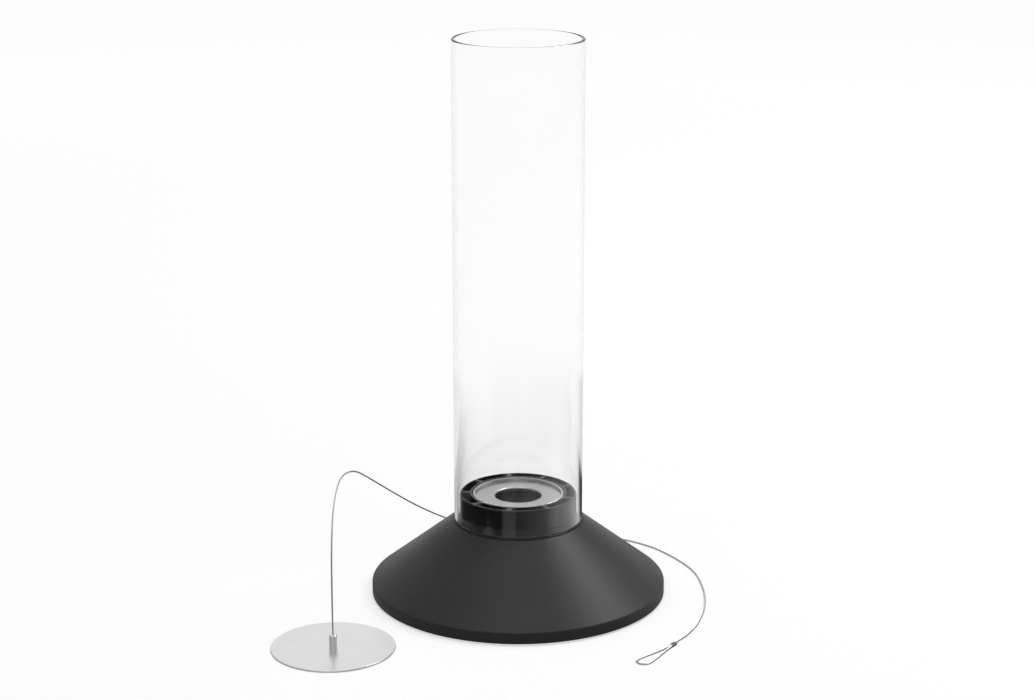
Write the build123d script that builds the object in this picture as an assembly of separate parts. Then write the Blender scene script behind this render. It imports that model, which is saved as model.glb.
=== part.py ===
from build123d import *
import math
import os

# A tabletop fireplace: a flame burns in a can under a tall glass cylinder, and nine curved air vanes
# round the can make the air, and so the flame, spin. A steel disc on a wire rope snuffs it.
# Millimetres, +Z up. The origin is on the fire's axis, on the surface that the feet stand on.

# Glass cylinder, standard 120 mm borosilicate tube
GLASS_OUTER_R = 60.0
GLASS_WALL = 3.0
GLASS_TOP_Z = 523.8
GLASS_RIM_R = 1.0

# Conical base shell, drawn from steel sheet
SHEET = 1.5
BASE_R = 138.0
SKIRT_BOTTOM_Z = 1.5
SKIRT_TOP_Z = 11.7
NECK_R = 61.8
NECK_Z = 71.3
BEND_R = 2.0

# Gasket that the glass stands on
SEAL_T = 1.0
GLASS_BOTTOM_Z = NECK_Z + SEAL_T

# Cast air insert: collar, air gap with vanes, inner ring
INSERT_TOP_Z = 97.9
COLLAR_R = 54.7
SLOT_OUTER_R = 52.9
SLOT_INNER_R = 45.3
BORE_R = 43.2
FOOT_R = 56.6
FOOT_Z = 75.0
SHOULDER_Z = 79.0
VANE_COUNT = 9
VANE_FIRST_DEG = 180.0
VANE_TOP_W = 5.0
VANE_TAIL_W = 2.0
VANE_BOTTOM_Z = 80.0
VANE_SWEEP = 7.4
RING_BOTTOM_Z = 75.5
REBATE_H = 3.0

# Three posts hold the insert, the shell's neck and the bottom plate together
POST_COUNT = 3
POST_CIRCLE_R = (SLOT_OUTER_R + SLOT_INNER_R) / 2
POST_R = 3.5
BOSS_R = 4.2
BOSS_TOP_Z = 88.0
STUD_R = 1.9
STUD_H = 9.0
STUD_HOLE_R = 2.0
SCREW_HOLE_R = 2.15
SCREW_GRIP = 9.0
SCREW_HEAD_R = 4.0
SCREW_HEAD_H = 2.2

# Bottom plate and its push-in rubber feet
PLATE_Z = 4.0
PLATE_T = 1.2
PLATE_R = 136.2
PLATE_RIM_Z = 10.0
WINDOW_COUNT = 4
WINDOW_DEG = 48.0
WINDOW_IN_R = 64.0
WINDOW_OUT_R = 104.0
WINDOW_CORNER_R = 6.0
FEET_COUNT = 4
FEET_FIRST_DEG = 45.0
FEET_CIRCLE_R = 118.0
FOOT_PAD_R = 8.5
FOOT_STEM_R = 2.9
FOOT_HOLE_R = 3.0
FOOT_HEAD_R = 3.9

# Cup that the fuel can stands in
CUP_R = 44.0
CUP_WALL = 0.8
CUP_BEND_R = 1.2
CUP_BOTTOM_Z = PLATE_Z + PLATE_T
CUP_TOP_Z = 78.3

# Fuel can with a double seam at each end
CAN_SEAM_R = 42.6
CAN_WALL_R = 41.7
CAN_WALL_T = 0.5
CAN_BOTTOM_Z = CUP_BOTTOM_Z + CUP_WALL
CAN_TOP_Z = 97.6
SEAM_H = 3.0
SEAM_IN_R = 40.9
SEAM_EDGE_R = 0.6
PANEL_Z = 93.5
TIN = 0.5
CURL_R = 0.75
MOUTH_R = 36.0
WOOL_TOP_Z = 55.0

# Flame ring lying in the can's mouth, which narrows it
RING_R = 40.1
RING_T = 1.0
RING_HOLE_R = 21.6
RING_BEND_R = 1.8
RING_LIP_H = 4.0

# Snuffer disc, the ferrule screwed to its middle, and the wire rope with a crimped loop
DISC_X = -165.0
DISC_Y = -141.6
DISC_R = 55.5
DISC_T = 1.5
DISC_SCREW_R = 1.45
DISC_SCREW_TOP_Z = 5.5
DISC_SCREW_HEAD_R = 2.7
DISC_HOLE_R = 1.6
FERRULE_R = 3.6
FERRULE_TOP_Z = 12.5
FERRULE_TAP_R = 1.5
ROPE_D = 1.5
ROPE_BOTTOM_Z = 6.5
ROPE_FIT = 0.03

# The rope stands up in the ferrule, arches over behind the base and lies on the table round its right side
ROPE_ON_TABLE_Z = ROPE_D / 2
ROPE_ROUTE = [
    (DISC_X, DISC_Y, ROPE_BOTTOM_Z),
    (-165.0, -141.6, 47.0),
    (-165.0, -137.5, 88.0),
    (-164.5, -125.0, 115.0),
    (-163.5, -107.5, 130.0),
    (-161.0, -82.0, 137.5),
    (-157.0, -54.0, 135.0),
    (-150.0, -20.0, 125.0),
    (-138.0, 16.5, 103.5),
    (-120.5, 53.5, 78.0),
    (-97.0, 88.5, 50.5),
    (-67.0, 122.0, 24.5),
    (-33.0, 146.0, 7.0),
    (5.0, 156.5, 0.75),
    (47.0, 155.5, 0.75),
    (93.0, 140.0, 0.75),
    (131.5, 114.0, 0.75),
    (154.0, 80.5, 0.75),
    (171.0, 44.0, 0.75),
    (176.0, 2.0, 0.75),
    (175.0, -42.0, 0.75),
    (165.5, -85.0, 0.8),
    (154.0, -112.0, 1.0),
    (143.2, -128.5, 1.3),
    (133.4, -143.2, 1.3),
    (123.2, -152.9, 1.0),
    (112.3, -162.4, 0.75),
    (103.8, -170.9, 0.75),
    (104.1, -176.8, 0.75),
    (108.8, -180.4, 0.75),
    (114.6, -179.1, 0.75),
    (121.2, -168.9, 0.75),
    (128.0, -156.0, 1.0),
    (134.8, -144.1, 1.3),
    (140.8, -135.1, 1.3),
]

# Crimp sleeve that closes the loop
CRIMP_X = 138.52
CRIMP_Y = -137.01
CRIMP_Z = 1.3
CRIMP_DEG = 56.3
CRIMP_L = 6.5
CRIMP_WALL = 0.5
STRAND_GAP = 1.66


def revolved(face):
    """A full turn of a profile that is drawn in the XZ plane."""
    return revolve(face, Axis.Z, 360)


def sheet_profile(points, radii, thickness, side):
    """A sheet's section: one of its faces as a line with rounded bends, and the thickness to one side."""
    with BuildSketch(Plane.XZ) as sketch:
        with BuildLine():
            line = FilletPolyline(*points, radius=radii)
            offset(line, amount=thickness, side=side)
        make_face()
    return sketch.sketch


def section(*points):
    """A closed straight-sided section in the XZ plane, as (radius, height) pairs."""
    return make_face(Plane.XZ * Polyline(*points, close=True))


def on_circle(radius, count, first_deg=0.0):
    """Places spread evenly round the axis, each with its X direction pointing outwards."""
    return PolarLocations(radius, count, start_angle=first_deg)


def post_places():
    """The three places of the clamp posts, each below a vane."""
    return on_circle(POST_CIRCLE_R, POST_COUNT, VANE_FIRST_DEG)


def foot_places():
    """The four places of the rubber feet, between the air windows."""
    return on_circle(FEET_CIRCLE_R, FEET_COUNT, FEET_FIRST_DEG)


def cone_shell():
    """Spun cone with a straight skirt, a neck flange, and three drilled lugs in the neck."""
    outside = [(BASE_R, SKIRT_BOTTOM_Z), (BASE_R, SKIRT_TOP_Z), (NECK_R, NECK_Z), (SLOT_OUTER_R, NECK_Z)]
    shell = revolved(sheet_profile(outside, BEND_R, SHEET, Side.LEFT))
    reach = SLOT_OUTER_R + 1.5 - POST_CIRCLE_R
    lug = Pos(reach / 2, 0) * Rectangle(reach, 2 * BOSS_R) + Circle(BOSS_R) - Circle(SCREW_HOLE_R)
    lug = extrude(lug, SHEET)
    for place in post_places():
        shell += Pos(0, 0, NECK_Z - SHEET) * place * lug
    return shell


def vane():
    """One vane: upright at its foot, bent over towards its broad top, and as deep as the air gap."""
    tail = VANE_TAIL_W / 2
    land = VANE_TOP_W / 2
    with BuildSketch(Plane.YZ.offset(BORE_R + 0.4)) as blade:
        with BuildLine():
            front = TangentArc((VANE_SWEEP - tail, VANE_BOTTOM_Z), (-land, INSERT_TOP_Z), tangent=(0, 1))
            back = TangentArc((VANE_SWEEP + tail, VANE_BOTTOM_Z), (land, INSERT_TOP_Z), tangent=(0, 1))
            Line(front @ 1, back @ 1)
            Line(front @ 0, back @ 0)
        make_face()
    return extrude(blade.sketch, COLLAR_R - 1.3 - BORE_R - 0.4)


def air_insert():
    """Collar and inner ring joined by nine curved vanes, with three screw bosses below every third vane."""
    collar = section(
        (SLOT_OUTER_R, INSERT_TOP_Z),
        (COLLAR_R, INSERT_TOP_Z),
        (COLLAR_R, SHOULDER_Z),
        (FOOT_R, FOOT_Z),
        (FOOT_R, NECK_Z),
        (SLOT_OUTER_R, NECK_Z),
    )
    rim = collar.vertices().sort_by(Axis.Z)[-2:].sort_by(Axis.X)[-1]
    collar = fillet(rim, 0.8)
    ring = section(
        (BORE_R, INSERT_TOP_Z),
        (SLOT_INNER_R, INSERT_TOP_Z),
        (SLOT_INNER_R, RING_BOTTOM_Z),
        (CUP_R + 0.15, RING_BOTTOM_Z),
        (CUP_R + 0.15, RING_BOTTOM_Z + REBATE_H),
        (BORE_R, RING_BOTTOM_Z + REBATE_H),
    )
    insert = revolved(collar) + revolved(ring)
    blade = vane()
    for place in on_circle(0, VANE_COUNT, VANE_FIRST_DEG):
        insert += place * blade
    boss = extrude(Circle(BOSS_R), BOSS_TOP_Z - NECK_Z)
    hole = extrude(Circle(STUD_HOLE_R), STUD_H + 1)
    for place in post_places():
        insert += Pos(0, 0, NECK_Z) * place * boss
        insert -= Pos(0, 0, NECK_Z) * place * hole
    return insert


def glass_seal():
    """Flat silicone ring between the neck flange and the glass."""
    flat = Circle(GLASS_OUTER_R + 0.8) - Circle(FOOT_R + 0.1)
    return Pos(0, 0, NECK_Z) * extrude(flat, SEAL_T)


def glass_cylinder():
    """Open glass tube with fire-polished rims."""
    with BuildSketch(Plane.XZ) as wall:
        with Locations((GLASS_OUTER_R - GLASS_WALL / 2, (GLASS_TOP_Z + GLASS_BOTTOM_Z) / 2)):
            Rectangle(GLASS_WALL, GLASS_TOP_Z - GLASS_BOTTOM_Z)
        fillet(wall.vertices(), GLASS_RIM_R)
    return revolved(wall.sketch)


def air_window():
    """Outline of one opening in the base plate, a piece of a ring with rounded corners."""
    low = -WINDOW_DEG / 2
    with BuildSketch() as window:
        with BuildLine():
            inner = CenterArc((0, 0), WINDOW_IN_R, low, WINDOW_DEG)
            outer = CenterArc((0, 0), WINDOW_OUT_R, low, WINDOW_DEG)
            Line(inner @ 0, outer @ 0)
            Line(inner @ 1, outer @ 1)
        make_face()
        fillet(window.vertices(), WINDOW_CORNER_R)
    return window.sketch


def base_plate():
    """Shallow pressed pan: a hub for the posts and four arms to the feet, with air windows between."""
    underside = [(0, PLATE_Z), (PLATE_R, PLATE_Z), (PLATE_R, PLATE_RIM_Z)]
    plate = revolved(sheet_profile(underside, BEND_R, PLATE_T, Side.LEFT))
    cut_h = 3 * PLATE_T
    under = Pos(0, 0, PLATE_Z - PLATE_T)
    for place in on_circle(0, WINDOW_COUNT):
        plate -= under * place * extrude(air_window(), cut_h)
    for place in post_places():
        plate -= under * place * extrude(Circle(SCREW_HOLE_R), cut_h)
    for place in foot_places():
        plate -= under * place * extrude(Circle(FOOT_HOLE_R), cut_h)
    return plate


def rubber_feet():
    """Round pads, each with a stem and a barbed head pushed through the plate."""
    top = PLATE_Z + PLATE_T
    foot = revolved(
        section(
            (0, 0),
            (FOOT_PAD_R - 1, 0),
            (FOOT_PAD_R, PLATE_Z),
            (FOOT_STEM_R, PLATE_Z),
            (FOOT_STEM_R, top),
            (FOOT_HEAD_R, top),
            (FOOT_STEM_R - 1, top + 2.5),
            (0, top + 2.5),
        )
    )
    return Compound(children=[place * foot for place in foot_places()])


def clamp_posts():
    """Turned posts with a threaded stud on top, through the neck lug, and a tapped hole below."""
    bottom = PLATE_Z + PLATE_T
    shoulder = NECK_Z - SHEET
    post = revolved(
        section(
            (STUD_HOLE_R, bottom),
            (POST_R, bottom),
            (POST_R, shoulder),
            (STUD_R, shoulder),
            (STUD_R, shoulder + STUD_H),
            (0, shoulder + STUD_H),
            (0, bottom + SCREW_GRIP + 1),
            (STUD_HOLE_R, bottom + SCREW_GRIP + 1),
        )
    )
    return Compound(children=[place * post for place in post_places()])


def plate_screws():
    """Pan-head screws with a hexagon socket, from below into the posts."""
    screw = extrude(Circle(STUD_R), PLATE_T + SCREW_GRIP)
    head = Pos(0, 0, -SCREW_HEAD_H) * extrude(Circle(SCREW_HEAD_R), SCREW_HEAD_H)
    head = fillet(head.edges().sort_by(Axis.Z)[0], 0.8)
    socket = Pos(0, 0, -SCREW_HEAD_H) * extrude(RegularPolygon(1.4, 6), SCREW_HEAD_H * 0.6)
    screw = Pos(0, 0, PLATE_Z) * (screw + head - socket)
    return Compound(children=[place * screw for place in post_places()])


def can_holder():
    """Deep-drawn cup that carries the can, its rim inside the insert's lower edge."""
    outside = [(0, CUP_BOTTOM_Z), (CUP_R, CUP_BOTTOM_Z), (CUP_R, CUP_TOP_Z)]
    return revolved(sheet_profile(outside, CUP_BEND_R, CUP_WALL, Side.LEFT))


def can_wall():
    """Thin rolled and welded tin cylinder, its edges inside both seams."""
    low = CAN_BOTTOM_Z + 0.8
    high = CAN_TOP_Z - 0.8
    ring = Circle(CAN_WALL_R) - Circle(CAN_WALL_R - CAN_WALL_T)
    return Pos(0, 0, low) * extrude(ring, high - low)


def seam_end(panel_inner_r):
    """A can end's section, its seam's top at z=0: hooked over the wall, then a wall down to a flat panel."""
    depth = CAN_TOP_Z - PANEL_Z
    hook = 0.05
    end = section(
        (panel_inner_r, -depth),
        (SEAM_IN_R, -depth),
        (SEAM_IN_R, -SEAM_H),
        (CAN_WALL_R - CAN_WALL_T - hook, -SEAM_H),
        (CAN_WALL_R - CAN_WALL_T - hook, -0.8 + hook),
        (CAN_WALL_R + hook, -0.8 + hook),
        (CAN_WALL_R + hook, -SEAM_H),
        (CAN_SEAM_R, -SEAM_H),
        (CAN_SEAM_R, 0),
        (SEAM_IN_R - TIN, 0),
        (SEAM_IN_R - TIN, TIN - depth),
        (panel_inner_r, TIN - depth),
    )
    outer_edge = end.vertices().sort_by(Axis.Z)[-2:].sort_by(Axis.X)[-1]
    return fillet(outer_edge, SEAM_EDGE_R)


def can_neck_ring():
    """Top end of the can with its wide open mouth, the mouth's edge curled under."""
    curl = Plane.XZ * Pos(MOUTH_R, TIN - CAN_TOP_Z + PANEL_Z - CURL_R) * Circle(CURL_R)
    return Pos(0, 0, CAN_TOP_Z) * revolved(seam_end(MOUTH_R) + curl)


def can_bottom():
    """Bottom end of the can, the same seam upside down, closed across."""
    return Pos(0, 0, CAN_BOTTOM_Z) * Rot(180, 0, 0) * revolved(seam_end(0))


def fuel_wool():
    """Ceramic wool that soaks up the fuel in the lower part of the can."""
    low = CAN_BOTTOM_Z + CAN_TOP_Z - PANEL_Z
    return Pos(0, 0, low) * extrude(Circle(CAN_WALL_R - CAN_WALL_T - 0.1), WOOL_TOP_Z - low)


def flame_ring():
    """Flat ring with a rounded lip turned down into the can, lying on the can's panel."""
    top = PANEL_Z + RING_T + TIN
    outline = [(RING_HOLE_R, top - RING_LIP_H), (RING_HOLE_R, top), (RING_R, top)]
    return revolved(sheet_profile(outline, RING_BEND_R, RING_T, Side.RIGHT))


def snuffer_disc():
    """Flat steel disc, a little smaller than the glass bore, countersunk below for its screw."""
    disc = extrude(Circle(DISC_R), DISC_T)
    disc = fillet(disc.edges(), 0.3)
    sink_r = DISC_SCREW_HEAD_R + 0.15
    sink_h = sink_r - DISC_HOLE_R
    sink = section((0, -1), (sink_r, -1), (sink_r, 0), (DISC_HOLE_R, sink_h), (DISC_HOLE_R, 2), (0, 2))
    return Pos(DISC_X, DISC_Y, 0) * (disc - revolved(sink))


def disc_screw():
    """Countersunk screw with a hexagon socket, from below through the disc into the ferrule."""
    head_z = 0.15
    neck_z = head_z + DISC_SCREW_HEAD_R - DISC_SCREW_R
    screw = revolved(
        section(
            (0, head_z),
            (DISC_SCREW_HEAD_R, head_z),
            (DISC_SCREW_R, neck_z),
            (DISC_SCREW_R, DISC_SCREW_TOP_Z),
            (0, DISC_SCREW_TOP_Z),
        )
    )
    socket = Pos(0, 0, head_z) * extrude(RegularPolygon(1.15, 6), 1.2)
    return Pos(DISC_X, DISC_Y, 0) * (screw - socket)


def wire_ferrule():
    """Turned ferrule, tapped from below for the disc's screw and bored from above for the rope's end."""
    bore_r = ROPE_D / 2 + ROPE_FIT
    tap_top_z = DISC_SCREW_TOP_Z + 0.3
    ferrule = revolved(
        section(
            (FERRULE_TAP_R, DISC_T),
            (FERRULE_R, DISC_T),
            (FERRULE_R, FERRULE_TOP_Z - 0.5),
            (FERRULE_R - 0.5, FERRULE_TOP_Z),
            (bore_r, FERRULE_TOP_Z),
            (bore_r, ROPE_BOTTOM_Z),
            (0, ROPE_BOTTOM_Z),
            (0, tap_top_z),
            (FERRULE_TAP_R, tap_top_z),
        )
    )
    return Pos(DISC_X, DISC_Y, 0) * ferrule


def bend_radii(route):
    """The largest radius that each corner of the route has room for."""
    points = [Vector(*point) for point in route]
    radii = []
    for before, corner, after in zip(points, points[1:], points[2:]):
        run_in = corner - before
        run_out = after - corner
        half_turn = math.radians(run_in.get_angle(run_out)) / 2
        radii.append(0.45 * min(run_in.length, run_out.length) / math.tan(half_turn))
    return radii


def wire_rope():
    """The whole rope as one round rod, from the ferrule to the end of its loop."""
    radii = bend_radii(ROPE_ROUTE)
    path = FilletPolyline(*ROPE_ROUTE, radius=radii)
    start = Plane(path @ 0, z_dir=path % 0)
    rope = sweep(start * Circle(ROPE_D / 2), path)
    expected = math.pi * (ROPE_D / 2) ** 2 * path.length
    print("rope bend radii", [round(r, 1) for r in radii])
    print("rope length", round(path.length, 1))
    print("rope volume", round(rope.volume, 1), "expected", round(expected, 1))
    return rope


def loop_crimp():
    """Oval sleeve lying flat round the two strands that close the loop."""
    strand = Circle(ROPE_D / 2 + ROPE_FIT)
    oval = SlotOverall(STRAND_GAP + ROPE_D + 2 * CRIMP_WALL, ROPE_D + 2 * CRIMP_WALL)
    oval = oval - Pos(STRAND_GAP / 2, 0) * strand - Pos(-STRAND_GAP / 2, 0) * strand
    turn = math.radians(CRIMP_DEG)
    along = Vector(math.cos(turn), math.sin(turn), 0)
    across = Vector(math.sin(turn), -math.cos(turn), 0)
    seat = Plane(origin=(CRIMP_X, CRIMP_Y, CRIMP_Z), x_dir=across, z_dir=along)
    return extrude(seat * oval, CRIMP_L / 2, both=True)


NODES = {
    "cone_shell": cone_shell,
    "base_plate": base_plate,
    "rubber_feet": rubber_feet,
    "clamp_posts": clamp_posts,
    "plate_screws": plate_screws,
    "air_insert": air_insert,
    "can_holder": can_holder,
    "glass_seal": glass_seal,
    "glass_cylinder": glass_cylinder,
    "can_wall": can_wall,
    "can_bottom": can_bottom,
    "can_neck_ring": can_neck_ring,
    "fuel_wool": fuel_wool,
    "flame_ring": flame_ring,
    "snuffer_disc": snuffer_disc,
    "disc_screw": disc_screw,
    "wire_ferrule": wire_ferrule,
    "wire_rope": wire_rope,
    "loop_crimp": loop_crimp,
}

os.makedirs("parts", exist_ok=True)
for name, build in NODES.items():
    export_step(build(), f"parts/{name}.step")
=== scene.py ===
"""Dresses the tabletop fireplace: a glass chimney on a coated cone, the burner in it, and its snuffer."""

import logging
import math
from collections.abc import Iterable
from dataclasses import dataclass
from enum import Enum

import bmesh
import bpy
import numpy as np
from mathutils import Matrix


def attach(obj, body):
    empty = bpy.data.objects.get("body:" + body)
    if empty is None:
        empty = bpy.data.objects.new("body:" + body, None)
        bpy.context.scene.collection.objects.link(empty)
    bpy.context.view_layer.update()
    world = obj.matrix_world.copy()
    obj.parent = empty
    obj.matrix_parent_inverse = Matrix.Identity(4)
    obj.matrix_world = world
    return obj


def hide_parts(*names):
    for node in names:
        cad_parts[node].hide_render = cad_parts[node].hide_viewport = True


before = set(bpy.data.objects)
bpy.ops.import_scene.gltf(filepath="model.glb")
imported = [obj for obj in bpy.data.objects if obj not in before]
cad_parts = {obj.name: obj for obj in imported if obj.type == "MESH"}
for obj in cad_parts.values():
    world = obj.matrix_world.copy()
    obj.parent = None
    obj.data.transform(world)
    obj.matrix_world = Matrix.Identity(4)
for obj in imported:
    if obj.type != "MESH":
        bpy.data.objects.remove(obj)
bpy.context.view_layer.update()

log = logging.getLogger("tabletop_fireplace")

MM = 0.001
FULL_TURN = 2 * math.pi
BESIDE_ARC = 1.12
SAME_POINT_MM = 1e-5
MERGE_M = 2e-6
TINY = 1e-9
SHARP_DEG = 32

WHITE = (1.0, 1.0, 1.0, 1.0)

Pair = tuple[float, float]
Triple = tuple[float, float, float]
Rgba = tuple[float, float, float, float]
Array = np.ndarray
Object = bpy.types.Object
Node = bpy.types.Node
Socket = bpy.types.NodeSocket


def linear(colour: str) -> Rgba:
    """Turns an sRGB colour into the linear one that shaders want.

    Formula: value / 12.92 in the dark toe, and ((value + 0.055) / 1.055) to the power 2.4 above it.

    Args:
        colour: red, green and blue as a hex string with a leading hash.

    Returns:
        Linear red, green, blue, and an alpha of one.
    """
    values = np.array([int(colour[i : i + 2], 16) for i in (1, 3, 5)]) / 255
    curve = np.where(values <= 0.04045, values / 12.92, ((values + 0.055) / 1.055) ** 2.4)
    return (*curve.tolist(), 1.0)


@dataclass(frozen=True)
class Nodes:
    """A node tree, and the steps that the finishes and the studio are built from."""

    tree: bpy.types.NodeTree

    @classmethod
    def emptied(cls, holder: bpy.types.Material | bpy.types.World) -> "Nodes":
        """The nodes of a material or a world, cleared.

        Args:
            holder: the material or world.

        Returns:
            Its nodes, none so far.
        """
        holder.use_nodes = True
        holder.node_tree.nodes.clear()
        return cls(holder.node_tree)

    def add(self, kind: str, inputs: dict | None = None, **settings) -> Node:
        """Adds one node, with its settings, its input values and its links.

        Args:
            kind: Blender's name for the kind of node.
            inputs: an input's name or number, and the value it takes or the output that feeds it.
            **settings: the node's own properties.

        Returns:
            The new node.
        """
        node = self.tree.nodes.new(kind)
        for name, value in settings.items():
            setattr(node, name, value)
        for name, value in (inputs or {}).items():
            if isinstance(value, Socket):
                self.tree.links.new(value, node.inputs[name])
            else:
                node.inputs[name].default_value = value
        return node

    def math(self, operation: str, first: Socket, second: Socket | float = 0.0) -> Socket:
        """The result of one step of arithmetic, by Blender's name for it."""
        return self.add("ShaderNodeMath", {0: first, 1: second}, operation=operation).outputs[0]

    def length(self, place: Socket) -> Socket:
        """How far a place is from the origin."""
        return self.add("ShaderNodeVectorMath", {0: place}, operation="LENGTH").outputs["Value"]

    def ranged(self, value: Socket, ends: Pair, levels: Pair = (0.0, 1.0), way: str = "LINEAR") -> Socket:
        """A value brought from one range to another and held at its ends, straight or by SMOOTHSTEP."""
        values = dict(zip(("From Min", "From Max", "To Min", "To Max"), (*ends, *levels)), Value=value)
        return self.add("ShaderNodeMapRange", values, interpolation_type=way).outputs[0]

    def mixed(self, share: Socket | float, first: Socket | Rgba, second: Socket | Rgba, **settings) -> Socket:
        """A colour that goes from the first to the second by a share from zero to one."""
        values = {0: share, 6: first, 7: second}
        return self.add("ShaderNodeMix", values, data_type="RGBA", **settings).outputs[2]

    def grain(self, place: Socket, size_mm: float, detail: float = 2.0, rough: float = 0.5) -> Socket:
        """Noise from zero to one, whose lumps are about so many millimetres across."""
        values = {"Vector": place, "Scale": 1 / (size_mm * MM), "Detail": detail, "Roughness": rough}
        return self.add("ShaderNodeTexNoise", values).outputs[0]

    def stretched(self, place: Socket, factors: Triple, centre_mm: Triple = (0, 0, 0)) -> Socket:
        """Coordinates about a centre, each multiplied by its factor.

        Args:
            place: coordinates in metres.
            factors: one factor for each axis.
            centre_mm: the centre, in millimetres.

        Returns:
            The new coordinates.
        """
        shift = tuple(-value * MM for value in centre_mm)
        moved = self.add("ShaderNodeVectorMath", {0: place, 1: shift}, operation="ADD").outputs[0]
        return self.add("ShaderNodeVectorMath", {0: moved, 1: factors}, operation="MULTIPLY").outputs[0]


# Forms


@dataclass
class Shell:
    """Points in millimetres and the four-sided faces between them."""

    points: Array
    faces: Array

    def moved(self, x: float = 0.0, y: float = 0.0, z: float = 0.0) -> "Shell":
        """The same shell, shifted."""
        return Shell(self.points + np.array([x, y, z]), self.faces)

    def turned(self, degrees: float) -> "Shell":
        """The same shell, turned about the vertical axis."""
        turn = math.radians(degrees)
        cos, sin = math.cos(turn), math.sin(turn)
        rows = np.array([[cos, sin, 0], [-sin, cos, 0], [0, 0, 1]])
        return Shell(self.points @ rows, self.faces)


def unit(rows: Array) -> Array:
    """Each row of numbers, brought to a length of one."""
    return rows / np.maximum(np.linalg.norm(rows, axis=1, keepdims=True), TINY)


def grid_shell(points: Array, wrap_rows: bool, wrap_columns: bool) -> Shell:
    """Joins a grid of points by four-sided faces.

    Face (i, j) takes points (i, j), (i, j+1), (i+1, j+1) and (i+1, j), and the last row or column meets the
    first where it wraps.

    Args:
        points: rows by columns by three.
        wrap_rows: whether the last row joins the first.
        wrap_columns: whether the last column joins the first.

    Returns:
        The shell.
    """
    rows, columns = points.shape[:2]
    number = np.arange(rows * columns).reshape(rows, columns)
    if wrap_rows:
        number = np.vstack([number, number[:1]])
    if wrap_columns:
        number = np.hstack([number, number[:, :1]])
    faces = np.stack([number[:-1, :-1], number[:-1, 1:], number[1:, 1:], number[1:, :-1]], axis=-1)
    return Shell(points.reshape(-1, 3), faces.reshape(-1, 4))


def box_section(inner: float, outer: float, low: float, high: float, *radii: float) -> list[Triple]:
    """Corners of an upright box: low inner, low outer, high outer, high inner, each with its rounding."""
    return list(zip((inner, outer, outer, inner), (low, low, high, high), radii))


def rounded_outline(corners: Iterable[Triple], steps: int = 8) -> Array:
    """Rounds the corners of a closed flat outline.

    Each corner becomes an arc that touches both of its sides: from the corner, the arc's centre is at
    radius / sin(half the corner's angle) along the bisector. One more point stands on each side just off the
    arc, so that the flat beyond it keeps its own shading.

    Args:
        corners: first coordinate, second coordinate and radius of each corner, in order.
        steps: faces along one arc.

    Returns:
        Points of the outline, two numbers each.
    """
    table = np.array(list(corners), float)
    place, radius = table[:, :2], table[:, 2:]
    back = unit(np.roll(place, 1, axis=0) - place)
    ahead = unit(np.roll(place, -1, axis=0) - place)
    half = np.arccos(np.clip((back * ahead).sum(axis=1, keepdims=True), -1, 1)) / 2
    reach = radius / np.tan(half)
    centre = place + unit(back + ahead) * radius / np.sin(half)
    start = place + back * reach - centre
    end = place + ahead * reach - centre
    sweep = (math.pi - 2 * half)[:, None]
    share = np.linspace(0, 1, steps + 1)[None, :, None]
    slide = np.sin((1 - share) * sweep) * start[:, None] + np.sin(share * sweep) * end[:, None]
    arc = centre[:, None] + slide / np.maximum(np.sin(sweep), TINY)
    near_start = (place + back * reach * BESIDE_ARC)[:, None]
    near_end = (place + ahead * reach * BESIDE_ARC)[:, None]
    line = np.concatenate([near_start, arc, near_end], axis=1).reshape(-1, 2)
    keep = np.linalg.norm(line - np.roll(line, -1, axis=0), axis=1) > SAME_POINT_MM
    return line[keep]


def lathe(outline: Array, turns: int = 256) -> Shell:
    """Turns a closed outline of radius and height about the vertical axis.

    Point (i, j) is (radius_i cos a_j, radius_i sin a_j, height_i), with a_j a share j of the full turn.

    Args:
        outline: radius and height of each point.
        turns: faces round the axis.

    Returns:
        The turned shell, still double at the axis.
    """
    angle = np.linspace(0, FULL_TURN, turns, endpoint=False)
    radius, height = outline[:, :1], outline[:, 1:]
    points = np.stack([radius * np.cos(angle), radius * np.sin(angle), height + 0 * angle], axis=-1)
    return grid_shell(points, wrap_rows=True, wrap_columns=True)


def capped(walls: Array, *ends: Array) -> Shell:
    """A tube of closed rows, drawn together to one point before its first row and one after its last."""
    first, last = (np.broadcast_to(end, walls[:1].shape) for end in ends)
    return grid_shell(np.concatenate([first, walls, last]), wrap_rows=False, wrap_columns=True)


def prism(outline: Array, low: float, high: float, bands: int = 1) -> Shell:
    """Draws an outline out along X, its two numbers as Y and Z, and closes both ends to their middle.

    Args:
        outline: two numbers for each point.
        low: where it starts.
        high: where it ends.
        bands: faces along its length.

    Returns:
        The shell, still double at the middle of each end.
    """
    along = np.linspace(low, high, bands + 1)[:, None]
    walls = np.stack(np.broadcast_arrays(along, outline[:, 0], outline[:, 1]), axis=-1)
    middle = np.append(0.0, outline.mean(axis=0))
    return capped(walls, middle + [low, 0, 0], middle + [high, 0, 0])


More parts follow.
